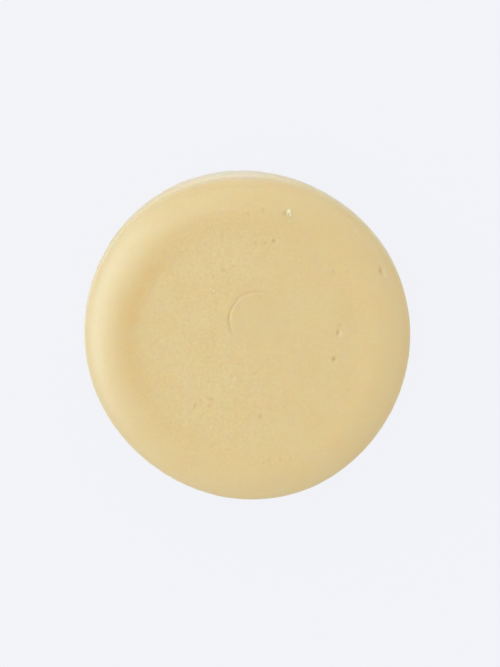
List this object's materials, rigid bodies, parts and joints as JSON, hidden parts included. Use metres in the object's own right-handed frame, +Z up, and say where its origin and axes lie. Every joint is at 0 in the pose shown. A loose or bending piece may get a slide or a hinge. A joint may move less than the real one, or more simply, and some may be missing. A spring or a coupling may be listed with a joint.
{
  "type": "shaving soap puck",
  "caption": "Round cake of hard shaving soap with a flat base, straight wall, rounded shoulder and slightly dished face, for lathering with a wet brush in a bowl or mug.",
  "frame": {"origin": "centre of the flat base, on the puck's axis, where the puck stands on a surface", "axes": "+Z up the puck's axis, from the flat base to the dished face; +X and +Y lie in the base, and the small ring in the face is off the axis, 4.1 mm towards +Y and 2.2 mm towards +X"},
  "size_m": [0.07, 0.07, 0.026],
  "materials": {
    "soap": "satin"
  },
  "bodies": {
    "root": {"soap_puck": "soap"}
  },
  "joints": []
}
